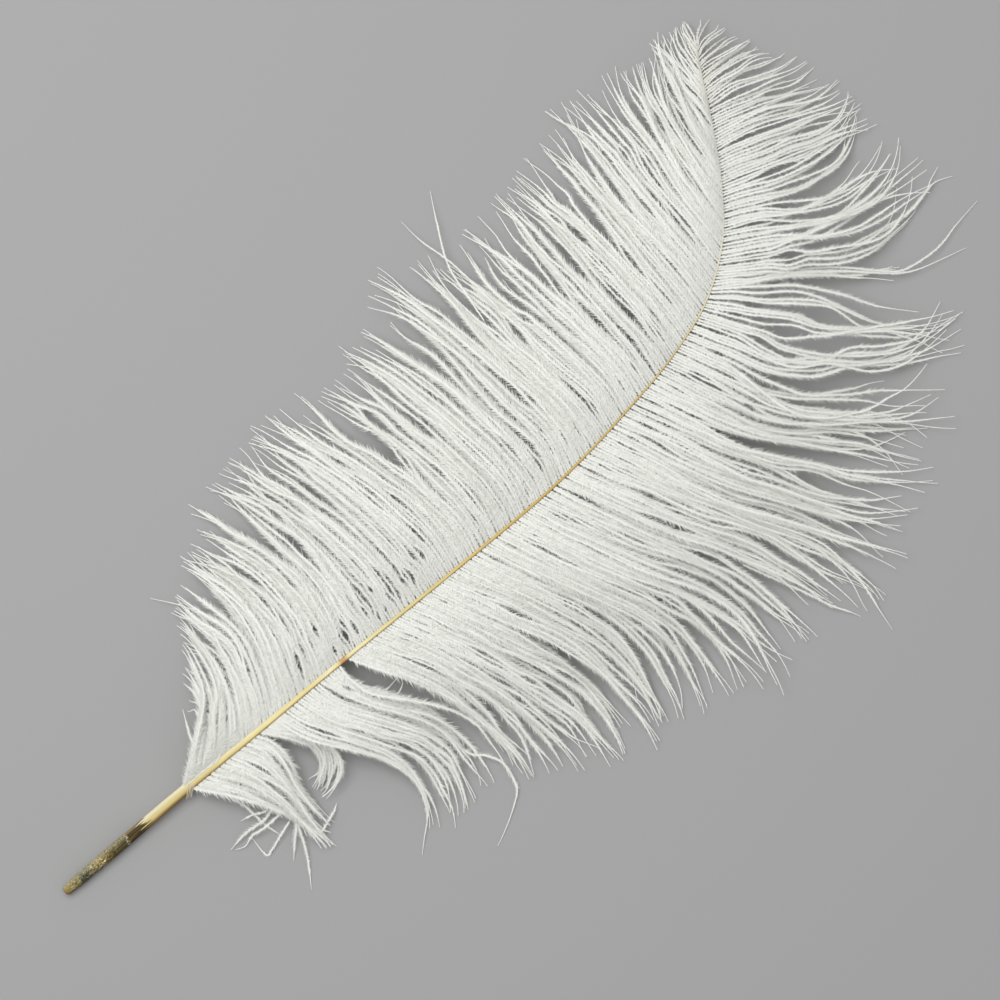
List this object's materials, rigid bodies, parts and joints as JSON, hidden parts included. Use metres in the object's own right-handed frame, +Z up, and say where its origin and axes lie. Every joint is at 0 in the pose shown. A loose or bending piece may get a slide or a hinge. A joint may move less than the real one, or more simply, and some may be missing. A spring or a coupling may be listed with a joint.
{
  "type": "ostrich feather",
  "caption": "White ostrich plume lying flat: a bare tan quill, a cream shaft that bends towards the tip, and two soft vanes parted into drooping locks.",
  "frame": {"origin": "on the surface that the feather lies on, under the middle of its bounding box", "axes": "+Z up, +X along the straight lower shaft from the quill end towards the tip, +Y towards the left vane as seen from above with the quill end nearest"},
  "size_m": [0.3574, 0.1906, 0.0205],
  "materials": {
    "plume": "matte"
  },
  "bodies": {
    "root": {"feather": "plume"}
  },
  "joints": []
}
